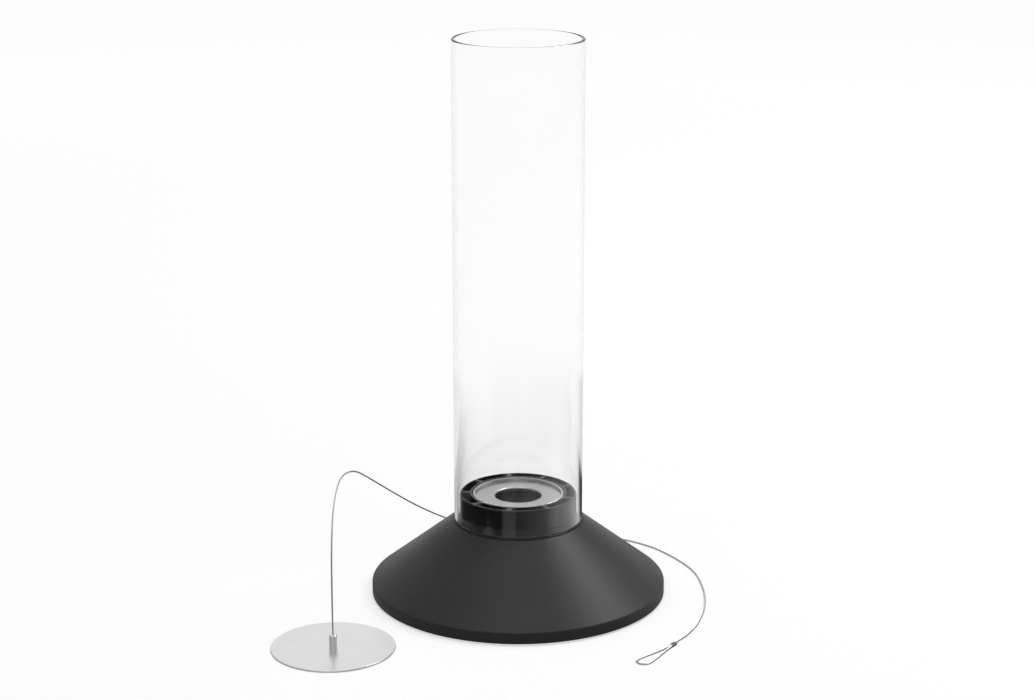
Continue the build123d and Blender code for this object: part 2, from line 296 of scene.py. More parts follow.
def sheet_outline(
    line: Iterable[Pair], radii: Iterable[float], thickness: float, edge: float = 0.2
) -> Array:
    """The section of bent sheet: a line with rounded bends, and the sheet's thickness on its left.

    A corner of the far side stands off by the thickness over the cosine of half the bend, and its radius is
    the near one less the thickness, or more by it where the bend goes the other way.

    Args:
        line: radius and height of the near side's corners.
        radii: near radius of each inner corner, one fewer at each end than the line.
        thickness: the sheet's thickness.
        edge: rounding of the cut edges.

    Returns:
        The closed outline.
    """
    place = np.array(list(line), float)
    run = unit(np.diff(place, axis=0))
    left = np.stack([-run[:, 1], run[:, 0]], axis=1)
    before = np.vstack([left[:1], left])
    after = np.vstack([left, left[-1:]])
    off = (before + after) / (1 + (before * after).sum(axis=1, keepdims=True))
    far = place + off * thickness
    turn = run[:-1, 0] * run[1:, 1] - run[:-1, 1] * run[1:, 0]
    near_r = np.array(list(radii), float)
    far_r = np.maximum(near_r - np.sign(turn) * thickness, 0.1)
    near = np.column_stack([place, np.concatenate([[edge], near_r, [edge]])])
    back = np.column_stack([far, np.concatenate([[edge], far_r, [edge]])])
    return rounded_outline(np.vstack([near, back[::-1]]))


def ripple(*ways: Array, waves: int = 7, seed: int = 1) -> Array:
    """An uneven surface: a sum of sine waves whose directions and phases come from a seeded draw.

    Args:
        *ways: coordinates, all of one shape.
        waves: how many waves are added.
        seed: number that fixes the draw.

    Returns:
        Heights between about -1 and 1.
    """
    draw = np.random.default_rng(seed)
    speed = draw.normal(0, 1, (waves, len(ways)))
    phase = draw.uniform(0, FULL_TURN, waves)
    total = sum(
        np.sin(sum(rate * way for rate, way in zip(rates, ways)) * (1 + number / 2) + start)
        for number, (rates, start) in enumerate(zip(speed, phase))
    )
    return total / math.sqrt(waves)


def piece(name: str, shells: Iterable[Shell]) -> Object:
    """Makes one object at the origin from shells, with doubles merged and faces outward.

    Args:
        name: the object's name.
        shells: its parts, in millimetres.

    Returns:
        The new object, in metres, smooth shaded.
    """
    parts = list(shells)
    starts = np.cumsum([0] + [len(part.points) for part in parts[:-1]])
    points = np.vstack([part.points for part in parts]) * MM
    faces = np.vstack([part.faces + start for part, start in zip(parts, starts)])
    mesh = bpy.data.meshes.new(name)
    mesh.from_pydata(points.tolist(), [], faces.tolist())
    cleaner = bmesh.new()
    cleaner.from_mesh(mesh)
    bmesh.ops.remove_doubles(cleaner, verts=cleaner.verts, dist=MERGE_M)
    bmesh.ops.recalc_face_normals(cleaner, faces=cleaner.faces)
    cleaner.to_mesh(mesh)
    cleaner.free()
    mesh.polygons.foreach_set("use_smooth", np.ones(len(mesh.polygons), bool))
    mesh.set_sharp_from_angle(angle=math.radians(SHARP_DEG))
    made = bpy.data.objects.new(name, mesh)
    bpy.context.scene.collection.objects.link(made)
    return made


# Finishes


class Sheen(Enum):
    """How a metal's surface was left, and so which way its fine marks run."""

    TURNED = "rings about an axis"
    DRAWN = "lines up the wall"
    CAST = "no direction"


@dataclass(frozen=True)
class Finish:
    """What every finish has. A kind of finish adds its own marks in dress()."""

    name: str
    colour: str
    roughness: float

    def dress(self, nodes: Nodes, shader: Node, place: Socket) -> None:
        """Adds the marks of this finish to its shader."""
        raise NotImplementedError

    def material(self) -> bpy.types.Material:
        """Builds the material, or gives the one already built under this name.

        Returns:
            The material.
        """
        known = bpy.data.materials.get(self.name)
        if known:
            return known
        made = bpy.data.materials.new(self.name)
        nodes = Nodes.emptied(made)
        place = nodes.add("ShaderNodeTexCoord").outputs["Object"]
        values = {"Base Color": linear(self.colour), "Roughness": self.roughness}
        shader = nodes.add("ShaderNodeBsdfPrincipled", values)
        nodes.add("ShaderNodeOutputMaterial", {"Surface": shader.outputs["BSDF"]})
        self.dress(nodes, shader, place)
        return made

    def tone(self, nodes: Nodes, shader: Node, share: Socket, other: str) -> None:
        """Lets the base colour go towards another one by a share from zero to one."""
        mixed = nodes.mixed(share, linear(self.colour), linear(other))
        nodes.tree.links.new(mixed, shader.inputs["Base Color"])

    def vary(self, nodes: Nodes, shader: Node, share: Socket, low: float, high: float) -> None:
        """Lets the roughness go from low to high by a share from zero to one."""
        ranged = nodes.ranged(share, (0.0, 1.0), (low, high))
        nodes.tree.links.new(ranged, shader.inputs["Roughness"])

    def emboss(self, nodes: Nodes, shader: Node, height: Socket, depth_mm: float, strength: float) -> None:
        """Gives the surface a relief of so many millimetres.

        Args:
            nodes: the material's nodes.
            shader: the shader that takes the normal.
            height: the output that gives the height, from zero to one.
            depth_mm: the relief's depth.
            strength: how much of it shows.
        """
        values = {"Height": height, "Distance": depth_mm * MM, "Strength": strength}
        relief = nodes.add("ShaderNodeBump", values)
        nodes.tree.links.new(relief.outputs["Normal"], shader.inputs["Normal"])


@dataclass(frozen=True)
class PowderCoat(Finish):
    """Polyester powder sprayed on steel and baked: a dark, dull skin with a fine even grit."""

    grit_mm: float = 0.9
    fade: str = "#353536"
    specular: float = 0.3

    def dress(self, nodes: Nodes, shader: Node, place: Socket) -> None:
        """Grit in the relief and in the roughness, and slow patches in the colour."""
        shader.inputs["Specular IOR Level"].default_value = self.specular
        grit = nodes.grain(place, self.grit_mm, detail=3.0)
        patches = nodes.grain(place, size_mm=60.0, detail=1.0)
        self.tone(nodes, shader, patches, self.fade)
        self.vary(nodes, shader, grit, low=self.roughness - 0.06, high=self.roughness + 0.06)
        self.emboss(nodes, shader, grit, depth_mm=0.05, strength=0.6)


@dataclass(frozen=True)
class Enamel(Finish):
    """Gloss stoving enamel on a casting: near black, with the casting's slow waves under a smooth film."""

    specular: float = 0.5

    def dress(self, nodes: Nodes, shader: Node, place: Socket) -> None:
        """Slow waves in the relief, and faint wipe marks in the gloss."""
        shader.inputs["Specular IOR Level"].default_value = self.specular
        waves = nodes.grain(place, size_mm=14.0, detail=0.0)
        wipes = nodes.grain(place, size_mm=6.0, detail=2.0)
        self.vary(nodes, shader, wipes, low=self.roughness - 0.02, high=self.roughness + 0.04)
        self.emboss(nodes, shader, waves, depth_mm=0.02, strength=0.3)


@dataclass(frozen=True)
class Steel(Finish):
    """Bare or plated metal, with fine marks that run the way it was worked."""

    sheen: Sheen = Sheen.CAST
    marks_mm: float = 0.5
    depth_mm: float = 0.01
    fade: str = "#8c8c8c"
    spread: float = 0.08
    centre_mm: Triple = (0, 0, 0)

    def marks(self, nodes: Nodes, place: Socket) -> Socket:
        """The fine marks. On turned metal they change only with height and with distance from the axis.

        Args:
            nodes: the material's nodes.
            place: coordinates in metres.

        Returns:
            Noise from zero to one.
        """
        if self.sheen is Sheen.DRAWN:
            return nodes.grain(nodes.stretched(place, (1, 1, 0.04)), self.marks_mm, detail=4.0)
        if self.sheen is Sheen.CAST:
            return nodes.grain(place, self.marks_mm, detail=5.0, rough=0.65)
        radius = nodes.length(nodes.stretched(place, (1, 1, 0), self.centre_mm))
        height = nodes.add("ShaderNodeSeparateXYZ", {0: place}).outputs["Z"]
        values = {"W": nodes.math("ADD", radius, height), "Scale": 1 / (self.marks_mm * MM)}
        values.update({"Detail": 3.0, "Roughness": 0.6})
        return nodes.add("ShaderNodeTexNoise", values, noise_dimensions="1D").outputs[0]

    def dress(self, nodes: Nodes, shader: Node, place: Socket) -> None:
        """Marks in the relief and in the roughness, and a faint cloud in the colour."""
        shader.inputs["Metallic"].default_value = 1.0
        marks = self.marks(nodes, place)
        cloud = nodes.grain(place, size_mm=14.0, detail=3.0)
        self.tone(nodes, shader, cloud, self.fade)
        self.vary(nodes, shader, marks, self.roughness - self.spread, self.roughness + self.spread)
        self.emboss(nodes, shader, marks, depth_mm=self.depth_mm, strength=0.5)


@dataclass(frozen=True)
class Moulded(Finish):
    """Rubber or silicone from a mould: a dull skin with a very fine sparked grain."""

    grain_mm: float = 0.4
    fade: str = "#202020"

    def dress(self, nodes: Nodes, shader: Node, place: Socket) -> None:
        """Fine grain in the relief, and a bloom of dust in the colour."""
        skin = nodes.grain(place, self.grain_mm, detail=4.0)
        bloom = nodes.grain(place, size_mm=6.0, detail=4.0)
        self.tone(nodes, shader, bloom, self.fade)
        self.emboss(nodes, shader, skin, depth_mm=0.03, strength=0.5)


@dataclass(frozen=True)
class Wool(Finish):
    """Packed ceramic fibre: pale and matt, with thin fibres lying across each other."""

    fibre_mm: float = 0.35
    shade: str = "#6e6a63"

    def dress(self, nodes: Nodes, shader: Node, place: Socket) -> None:
        """Two layers of stretched noise for the fibres, in the relief and in the colour."""
        one = nodes.grain(nodes.stretched(place, (1, 0.08, 0.3)), self.fibre_mm, detail=3.0)
        other = nodes.grain(nodes.stretched(place, (0.1, 1, 0.3)), self.fibre_mm, detail=3.0)
        tufts = nodes.ranged(nodes.math("MULTIPLY", one, other), (0.1, 0.45))
        self.tone(nodes, shader, tufts, self.shade)
        self.emboss(nodes, shader, tufts, depth_mm=0.4, strength=0.8)


@dataclass(frozen=True)
class Glass(Finish):
    """Drawn borosilicate tube: clear, with a grey depth that only shows where light runs along the wall."""

    depth: str = "#f2f5f3"
    density: float = 50.0

    def dress(self, nodes: Nodes, shader: Node, place: Socket) -> None:
        """Refraction for the eye, open to the lamps, and a slow ripple from drawing the tube."""
        shader.inputs["IOR"].default_value = 1.474
        shader.inputs["Transmission Weight"].default_value = 1.0
        draw_lines = nodes.grain(nodes.stretched(place, (1, 1, 0.02)), size_mm=90.0, detail=0.0)
        self.emboss(nodes, shader, draw_lines, depth_mm=0.01, strength=0.1)
        ray = nodes.add("ShaderNodeLightPath")
        clear = nodes.add("ShaderNodeBsdfTransparent", {"Color": (0.96, 0.96, 0.96, 1)})
        both = {0: ray.outputs["Is Shadow Ray"], 1: shader.outputs["BSDF"], 2: clear.outputs["BSDF"]}
        mixed = nodes.add("ShaderNodeMixShader", both)
        values = {"Color": linear(self.depth), "Density": self.density}
        body = nodes.add("ShaderNodeVolumeAbsorption", values)
        output = next(node for node in nodes.tree.nodes if node.type == "OUTPUT_MATERIAL")
        nodes.tree.links.new(mixed.outputs[0], output.inputs["Surface"])
        nodes.tree.links.new(body.outputs[0], output.inputs["Volume"])


# Dark grey and dull, with one broad soft highlight down the cone
SHELL_COAT = PowderCoat("powder_coated_steel", "#2b2b2c", 0.42)
# Black with clear, slightly wavy reflections
INSERT_ENAMEL = Enamel("gloss_black_enamel", "#0c0c0d", 0.12)
# Almost invisible but for its edges and rims
CLEAR_GLASS = Glass("drawn_borosilicate_glass", "#ffffff", 0.0)
# Bright, with fine rings that spread its reflections towards and away from the axis
RING_STEEL = Steel("turned_stainless_steel", "#d6d6d8", 0.3, Sheen.TURNED, 0.6, 0.008, "#bdbdc0")
# Nearly white under a white sky, with a faint satin ring here and there
DISC_STEEL = Steel(
    "satin_stainless_steel", "#fafafa", 0.24, Sheen.TURNED, 0.8, 0.004, "#f2f2f2", 0.04, (-165.0, -141.6, 0.0)
)
# Mid grey, because each thin wire shows its lit and its dark side
ROPE_STEEL = Steel("drawn_steel_wire", "#dcdcdc", 0.33, Sheen.CAST, 0.8, 0.005, "#c6c6c6")
# Duller and darker than the rope
CRIMP_ALLOY = Steel("pressed_aluminium", "#8d8d8d", 0.42, Sheen.CAST, 0.5, 0.02, "#6f6f6f")
# Bright and smooth, with the slow cloud of a rolled sheet
CAN_TIN = Steel("electrolytic_tinplate", "#d6d6d4", 0.26, Sheen.CAST, 4.0, 0.002, "#bebebc", 0.03)
# Warm grey, with fine lines up the wall
HOLDER_STEEL = Steel("deep_drawn_stainless_steel", "#b4b3b0", 0.3, Sheen.DRAWN, 0.6, 0.01, "#999896")
# Cool, cloudy grey, neither dull nor bright
PLATE_ZINC = Steel("zinc_plated_sheet_steel", "#a9acae", 0.42, Sheen.CAST, 2.0, 0.01, "#8e9194")
FASTENER_STEEL = Steel("zinc_plated_turned_steel", "#9b9da0", 0.36, Sheen.DRAWN, 0.5, 0.01, "#828487")
# Black and dull
FOOT_RUBBER = Moulded("moulded_black_rubber", "#141414", 0.8)
# Black with a faint waxy sheen
SEAL_SILICONE = Moulded("moulded_silicone_rubber", "#161616", 0.45, 0.3, "#1e1e1e")
# Grey, darkened to paint the shade deep in the can, with short tufts
FUEL_WOOL = Wool("packed_ceramic_wool", "#98948c", 0.95)


def dress_node(node: str, finish: Finish) -> None:
    """Gives a piece that comes from the frame as it is its finish.

    Args:
        node: the piece's name.
        finish: the finish that fills its material slots.
    """
    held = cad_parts[node]
    made = finish.material()
    if not held.data.materials:
        held.data.materials.append(made)
    for slot in held.material_slots:
        slot.material = made
    log.info("finished %s in %s", node, finish.name)


def place_piece(made: Object, body: str, slot: str, finish: Finish, *nodes: str) -> None:
    """Gives a new piece its finish, the body that it moves with and the pieces that it stands for.

    Args:
        made: the new piece.
        body: name of the body it rides on.
        slot: name of the record's slot for its finish; not used.
        finish: its finish.
        *nodes: the pieces it stands for.
    """
    made.data.materials.append(finish.material())
    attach(made, body)
    if nodes:
        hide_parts(*nodes)
    log.info("built %s on %s in %s", made.name, body, finish.name)


# Sub-assemblies, sizes in millimetres


@dataclass
class ConeBase:
    """The coated steel cone, and under it the pressed plate with its posts, screws and rubber feet."""

    base_r: float = 138.0
    skirt_bottom: float = 1.5
    skirt_top: float = 11.7
    neck_r: float = 61.8
    neck_z: float = 71.3
    neck_hole_r: float = 52.9
    bend_r: float = 2.0
    sheet: float = 1.5

    def cone(self) -> Object:
        """The cone: skirt, slope and neck flange in one bent sheet, turned about the axis."""
        line = [
            (self.base_r, self.skirt_bottom),
            (self.base_r, self.skirt_top),
            (self.neck_r, self.neck_z),
            (self.neck_hole_r, self.neck_z),
        ]
        outline = sheet_outline(line, [self.bend_r, self.bend_r], self.sheet)
        return piece("coated_cone", [lathe(outline, 360)])

    def build(self) -> None:
        """Builds and finishes the base."""
        place_piece(self.cone(), "base", "shell_paint", SHELL_COAT, "cone_shell")
        dress_node("base_plate", PLATE_ZINC)
        dress_node("rubber_feet", FOOT_RUBBER)
        for node in ("clamp_posts", "plate_screws"):
            dress_node(node, FASTENER_STEEL)


@dataclass
class AirInsert:
    """The cast insert: a collar, an inner ring, nine curved vanes between them, and three screw bosses."""

    top: float = 97.9
    collar_r: float = 54.7
    slot_out_r: float = 52.9
    slot_in_r: float = 45.3
    bore_r: float = 43.2
    foot_r: float = 56.6
    foot_z: float = 75.0
    shoulder_z: float = 79.0
    neck_z: float = 71.3
    ring_bottom: float = 75.5
    rebate_r: float = 44.15
    rebate_top: float = 78.5
    vane_count: int = 9
    vane_first: float = 180.0
    vane_top_w: float = 5.0
    vane_tail_w: float = 2.0
    vane_bottom: float = 80.0
    vane_sweep: float = 7.4
    vane_foot_edge: float = 0.5
    vane_below_top: float = 0.01
    vane_in_ring: float = 0.5
    vane_in_collar: float = 1.4
    boss_count: int = 3
    boss_r: float = 4.2
    boss_top: float = 88.0
    edge: float = 0.45

    def collar(self) -> Shell:
        """The outer wall, with a sloping shoulder down to its foot."""
        corners = [
            (self.slot_out_r, self.top, self.edge),
            (self.collar_r, self.top, 0.8),
            (self.collar_r, self.shoulder_z, 0.6),
            (self.foot_r, self.foot_z, 0.6),
            (self.foot_r, self.neck_z, 0.2),
            (self.slot_out_r, self.neck_z, 0.2),
        ]
        return lathe(rounded_outline(corners), 360)

    def inner_ring(self) -> Shell:
        """The inner wall, with a step at its foot that the can's holder fits in."""
        corners = [
            (self.bore_r, self.top, self.edge),
            (self.slot_in_r, self.top, self.edge),
            (self.slot_in_r, self.ring_bottom, 0.3),
            (self.rebate_r, self.ring_bottom, 0.2),
            (self.rebate_r, self.rebate_top, 0.2),
            (self.bore_r, self.rebate_top, 0.2),
        ]
        return lathe(rounded_outline(corners), 360)

    def flank(self, foot: float, head: float, steps: int = 14) -> Array:
        """One face of a vane, an arc that leaves its foot upright and bends over to its head.

        With dx the sideways and dz the upward reach, the arc's radius is (dx^2 + dz^2) / (2 dx), and its
        centre is level with the foot.

        Args:
            foot: sideways place of the foot.
            head: sideways place of the head.
            steps: points less one.

        Returns:
            Sideways place, height and no rounding, for each point.
        """
        across = foot - head
        rise = self.top - self.vane_below_top - self.vane_bottom
        radius = (across**2 + rise**2) / (2 * across)
        turn = np.linspace(0, math.atan2(rise, radius - across), steps + 1)
        side = foot - radius + radius * np.cos(turn)
        return np.column_stack([side, self.vane_bottom + radius * np.sin(turn), 0 * turn])

    def vanes(self) -> list[Shell]:
        """All nine vanes, each one section drawn out from the inner ring to the collar."""
        tail = self.vane_tail_w / 2
        land = self.vane_top_w / 2
        front = self.flank(self.vane_sweep - tail, -land)
        back = self.flank(self.vane_sweep + tail, land)
        section = np.vstack([front, back[::-1]])
        heads = [len(front) - 1, len(front)]
        section[heads, 2] = self.edge
        section[[0, -1], 2] = self.vane_foot_edge
        ends = (self.bore_r + self.vane_in_ring, self.collar_r - self.vane_in_collar)
        blade = prism(rounded_outline(section, 5), *ends)
        step = 360 / self.vane_count
        return [blade.turned(self.vane_first + step * number) for number in range(self.vane_count)]

    def bosses(self) -> list[Shell]:
        """Three round bosses under every third vane, for the posts' studs."""
        middle = (self.slot_out_r + self.slot_in_r) / 2
        corners = box_section(0, self.boss_r, self.neck_z, self.boss_top, 0, 0.2, 0.8, 0)
        boss = lathe(rounded_outline(corners), 48).moved(middle)
        step = 360 / self.boss_count
        return [boss.turned(self.vane_first + step * number) for number in range(self.boss_count)]

    def build(self) -> None:
        """Builds and finishes the insert."""
        made = piece("cast_insert", [self.collar(), self.inner_ring(), *self.vanes(), *self.bosses()])
        place_piece(made, "base", "insert_paint", INSERT_ENAMEL, "air_insert")


@dataclass
class Chimney:
    """The glass cylinder and the silicone ring that it stands on."""

    outer_r: float = 60.0
    wall: float = 3.0
    bottom: float = 72.3
    top: float = 523.8
    rim_r: float = 1.2
    foot_rim_r: float = 1.0
    seal_edge: float = 0.3
    seal_in_r: float = 56.7
    seal_out_r: float = 60.8
    seal_bottom: float = 71.3

    def tube(self) -> Object:
        """The tube: its wall's section with melted edges, turned about the axis."""
        inner = self.outer_r - self.wall
        radii = (self.foot_rim_r, self.foot_rim_r, self.rim_r, self.rim_r)
        corners = box_section(inner, self.outer_r, self.bottom, self.top, *radii)
        return piece("glass_tube", [lathe(rounded_outline(corners, 10), 480)])

    def seal(self) -> Object:
        """The flat ring under the glass, its edges softened."""
        radii = [self.seal_edge] * 4
        corners = box_section(self.seal_in_r, self.seal_out_r, self.seal_bottom, self.bottom, *radii)
        return piece("silicone_seal", [lathe(rounded_outline(corners, 4), 240)])

    def build(self) -> None:
        """Builds and finishes the chimney."""
        place_piece(self.tube(), "glass", "chimney_glass", CLEAR_GLASS, "glass_cylinder")
        place_piece(self.seal(), "base", "seal_silicone", SEAL_SILICONE, "glass_seal")


@dataclass
class Burner:
    """The fuel can in its holder, the wool in it, and the flame ring on it."""

    ring_r: float = 40.1
    ring_top: float = 95.0
    ring_t: float = 1.0
    hole_r: float = 21.6
    lip_r: float = 1.8
    lip_h: float = 4.0
    wool_r: float = 40.9
    wool_bottom: float = 10.2
    wool_top: float = 53.6
    wool_crown: float = 1.2
    wool_bands: int = 12
    crown_zone: float = 5.0
    foot_zone: float = 3.0
    dent_size: float = 9.0
    dent_depth: float = 0.35
    wall_pull: float = 0.006

    def flame_ring(self) -> Object:
        """The ring: a flat sheet whose inner edge is rolled down into a lip."""
        line = [
            (self.ring_r, self.ring_top),
            (self.hole_r, self.ring_top),
            (self.hole_r, self.ring_top - self.lip_h),
        ]
        return piece("steel_flame_ring", [lathe(sheet_outline(line, [self.lip_r], self.ring_t), 300)])

    def wool(self) -> Object:
        """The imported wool: a low crown with soft edges, its skin pushed in and out by slow ripples."""
        corners = box_section(0, self.wool_r, self.wool_bottom, self.wool_top, 0, 2.0, 4.0, 0)
        outline = rounded_outline(corners, 8)
        steps = np.linspace(0, 1, self.wool_bands + 1)[:-1, None]
        ahead = np.roll(outline, -1, axis=0)
        fine = (outline[:, None] + (ahead - outline)[:, None] * steps[None]).reshape(-1, 2)
        shell = lathe(fine, 160)
        x, y, z = shell.points.T
        radius = np.hypot(x, y)
        dents = ripple(*(shell.points.T / self.dent_size), waves=9, seed=4)
        crown = self.wool_crown * (1 - (radius / self.wool_r) ** 2) * (z > self.wool_top - self.crown_zone)
        shrink = 1 - self.wall_pull * (1 + dents) * np.clip(radius / self.wool_r, 0, 1)
        lift = crown + self.dent_depth * dents * (z > self.wool_bottom + self.foot_zone)
        points = np.column_stack([x * shrink, y * shrink, z + lift])
        return piece("ceramic_wool_pad", [Shell(points, shell.faces)])

    def build(self) -> None:
        """Builds and finishes the burner."""
        place_piece(self.flame_ring(), "ring", "ring_steel", RING_STEEL, "flame_ring")
        wool = self.wool()
        place_piece(wool, "burner", "wool_ceramic", FUEL_WOOL, "fuel_wool")
        for node in ("can_wall", "can_bottom", "can_neck_ring"):
            dress_node(node, CAN_TIN)
        dress_node("can_holder", HOLDER_STEEL)


@dataclass
class WireRope:
    """Seven-wire steel rope: six wires laid round a seventh, from the ferrule to the end of its loop."""

    route_mm: tuple[Triple, ...] = (
        (-165, -141.6, 6.5), (-165, -141.6, 47), (-165, -137.5, 88), (-164.5, -125, 115),
        (-163.5, -107.5, 130), (-161, -82, 137.5), (-157, -54, 135), (-150, -20, 125),
        (-138, 16.5, 103.5), (-120.5, 53.5, 78), (-97, 88.5, 50.5), (-67, 122, 24.5),
        (-33, 146, 7), (5, 156.5, 0.75), (47, 155.5, 0.75), (93, 140, 0.75),
        (131.5, 114, 0.75), (154, 80.5, 0.75), (171, 44, 0.75), (176, 2, 0.75),
        (175, -42, 0.75), (165.5, -85, 0.8), (154, -112, 1), (143.2, -128.5, 1.3),
        (133.4, -143.2, 1.3), (123.2, -152.9, 1), (112.3, -162.4, 0.75), (103.8, -170.9, 0.75),
        (104.1, -176.8, 0.75), (108.8, -180.4, 0.75), (114.6, -179.1, 0.75), (121.2, -168.9, 0.75),
        (128, -156, 1), (134.8, -144.1, 1.3), (140.8, -135.1, 1.3),
    )
    diameter: float = 1.5
    length: float = 1020.0
    exit: Triple = (-165.0, -141.6, 12.5)
    outer_wires: int = 6
    wire_d: float = 0.5
    lay: float = 9.0
    step: float = 0.75
    sides: int = 6

    def line(self) -> Array:
        """The rope's middle, read from one open spline through the route's points.

        Returns:
            Points in millimetres, evenly spaced along the rope.
        """
        curve = bpy.data.curves.new("rope_route", "CURVE")
        curve.dimensions = "3D"
        curve.resolution_u = 24
        spline = curve.splines.new("NURBS")
        spline.points.add(len(self.route_mm) - 1)
        for point, place in zip(spline.points, self.route_mm):
            point.co = (*(value * MM for value in place), 1.0)
        spline.order_u = 3
        spline.use_endpoint_u = True
        holder = bpy.data.objects.new("rope_route", curve)
        mesh = bpy.data.meshes.new_from_object(holder)
        flat = np.zeros(len(mesh.vertices) * 3)
        mesh.vertices.foreach_get("co", flat)
        bpy.data.objects.remove(holder)
        bpy.data.meshes.remove(mesh)
        bpy.data.curves.remove(curve)
        points = flat.reshape(-1, 3) / MM
        along = np.append(0, np.cumsum(np.linalg.norm(np.diff(points, axis=0), axis=1)))
        even = np.linspace(0, along[-1], round(along[-1] / self.step) + 1)
        return np.column_stack([np.interp(even, along, points[:, axis]) for axis in range(3)])

    @staticmethod
    def frames(line: Array) -> tuple[Array, Array, Array]:
        """A direction along the line at each point, and two across it.

        The first one across is what is left of a guide once its part along the line is taken off. The guide
        turns from X to Z where the rope runs along Y, so it is never in line with the rope.

        Args:
            line: evenly spaced points.

        Returns:
            Unit vectors along, across and across again.
        """
        along = unit(np.gradient(line, axis=0))
        turn_start, turn_end = 0.15, 0.15 + 1 / 12
        place = np.linspace(0, 1, len(line))
        share = np.clip((place - turn_start) / (turn_end - turn_start), 0, 1)[:, None]
        share = share * share * (3 - 2 * share)
        guide = (1 - share) * np.array([1.0, 0, 0]) + share * np.array([0, 0, 1.0])
        across = unit(guide - along * (guide * along).sum(axis=1, keepdims=True))
        return along, across, np.cross(along, across)

    def wire(self, line: Array, phase: float, radius: float) -> Shell:
        """One wire: a tube whose middle winds round the rope's middle once in each lay.

        Its middle is line + radius (cos t across + sin t up), with t the length so far over the lay, in
        turns.

        Args:
            line: the rope's middle.
            phase: turn at which it starts, in radians.
            radius: its distance from the rope's middle.

        Returns:
            The tube, closed to a point at both ends.
        """
        along, across, up = self.frames(line)
        turn = (phase + FULL_TURN * self.step / self.lay * np.arange(len(line)))[:, None]
        middle = line + radius * (np.cos(turn) * across + np.sin(turn) * up)
        around = np.linspace(0, FULL_TURN, self.sides, endpoint=False)[None, :, None]
        rim = np.cos(around) * across[:, None] + np.sin(around) * up[:, None]
        walls = middle[:, None] + self.wire_d / 2 * rim
        return capped(walls, middle[:1, None], middle[-1:, None])

    def build(self, crimp: Object) -> None:
        """Args:
            crimp: the sleeve that closes its loop; not used.
        """
        line = self.line()
        lay_r = (self.diameter - self.wire_d) / 2
        phases = np.linspace(0, FULL_TURN, self.outer_wires, endpoint=False)
        wires = [self.wire(line, 0.0, 0.0), *(self.wire(line, float(phase), lay_r) for phase in phases)]
        made = piece("laid_wire_rope", wires)
        place_piece(made, "snuffer", "rope_steel", ROPE_STEEL, "wire_rope")
        length = float(np.linalg.norm(np.diff(line, axis=0), axis=1).sum())
        log.info("rope is %.0f mm long", length)


@dataclass
class Snuffer:
    """The disc that puts the flame out, with the ferrule on it, its screw, the rope and the loop's crimp."""

    x: float = -165.0
    y: float = -141.6
    disc_r: float = 55.5
    disc_t: float = 1.5
    edge: float = 0.35
    ferrule_r: float = 3.6
    ferrule_top: float = 12.5
    bore_r: float = 0.78
    sink_r: float = 2.85
    hole_r: float = 1.6
    chamfer: float = 0.5
    tap_r: float = 1.55
    tap_top: float = 5.8
    rope_foot: float = 6.5

    def disc(self) -> Object:
        """The disc: a flat turned plate with broken edges and a countersunk hole."""
        corners = [
            (self.sink_r, 0, 0),
            (self.disc_r, 0, self.edge),
            (self.disc_r, self.disc_t, self.edge),
            (self.hole_r, self.disc_t, 0),
            (self.hole_r, self.sink_r - self.hole_r, 0),
        ]
        return piece("steel_snuffer_disc", [lathe(rounded_outline(corners, 6), 360).moved(self.x, self.y)])

    def ferrule(self) -> Object:
        """The ferrule: a turned post with a chamfered top and a bore for the rope."""
        corners = [
            (self.tap_r, self.disc_t, 0),
            (self.ferrule_r, self.disc_t, 0.1),
            (self.ferrule_r, self.ferrule_top - self.chamfer, 0.15),
            (self.ferrule_r - self.chamfer, self.ferrule_top, 0.15),
            (self.bore_r, self.ferrule_top, 0.1),
            (self.bore_r, self.rope_foot, 0),
            (0, self.rope_foot, 0),
            (0, self.tap_top, 0),
            (self.tap_r, self.tap_top, 0),
        ]
        return piece("turned_ferrule", [lathe(rounded_outline(corners, 4), 96).moved(self.x, self.y)])

    def build(self) -> None:
        """Builds and finishes the snuffer."""
        place_piece(self.disc(), "snuffer", "disc_steel", DISC_STEEL, "snuffer_disc")
        place_piece(self.ferrule(), "snuffer", "disc_steel", DISC_STEEL, "wire_ferrule")
        dress_node("disc_screw", FASTENER_STEEL)
        dress_node("loop_crimp", CRIMP_ALLOY)
        WireRope().build(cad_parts["loop_crimp"])


# Studio, sizes in metres


@dataclass(frozen=True)
class Lamp:
    """A flat softbox that looks at the object. Its brightness is a radiance, whatever its size."""

    name: str
    place: Triple
    aim: Triple
    size: Pair
    brightness: float

    def build(self) -> None:
        """Hangs the softbox. Power is pi times radiance times area."""
        made = bpy.data.lights.new(self.name, "AREA")
        made.shape = "RECTANGLE"
        made.size, made.size_y = self.size
        made.energy = math.pi * self.brightness * math.prod(self.size)
        held = bpy.data.objects.new(self.name, made)
        held.location = self.place
        bpy.context.scene.collection.objects.link(held)
        toward = np.array(self.aim) - np.array(self.place)
        held.rotation_euler = (
            math.atan2(math.hypot(toward[0], toward[1]), -toward[2]),
            0.0,
            math.atan2(toward[0], -toward[1]) + math.pi,
        )
        held.visible_camera = False
        log.info("hung %s", self.name)


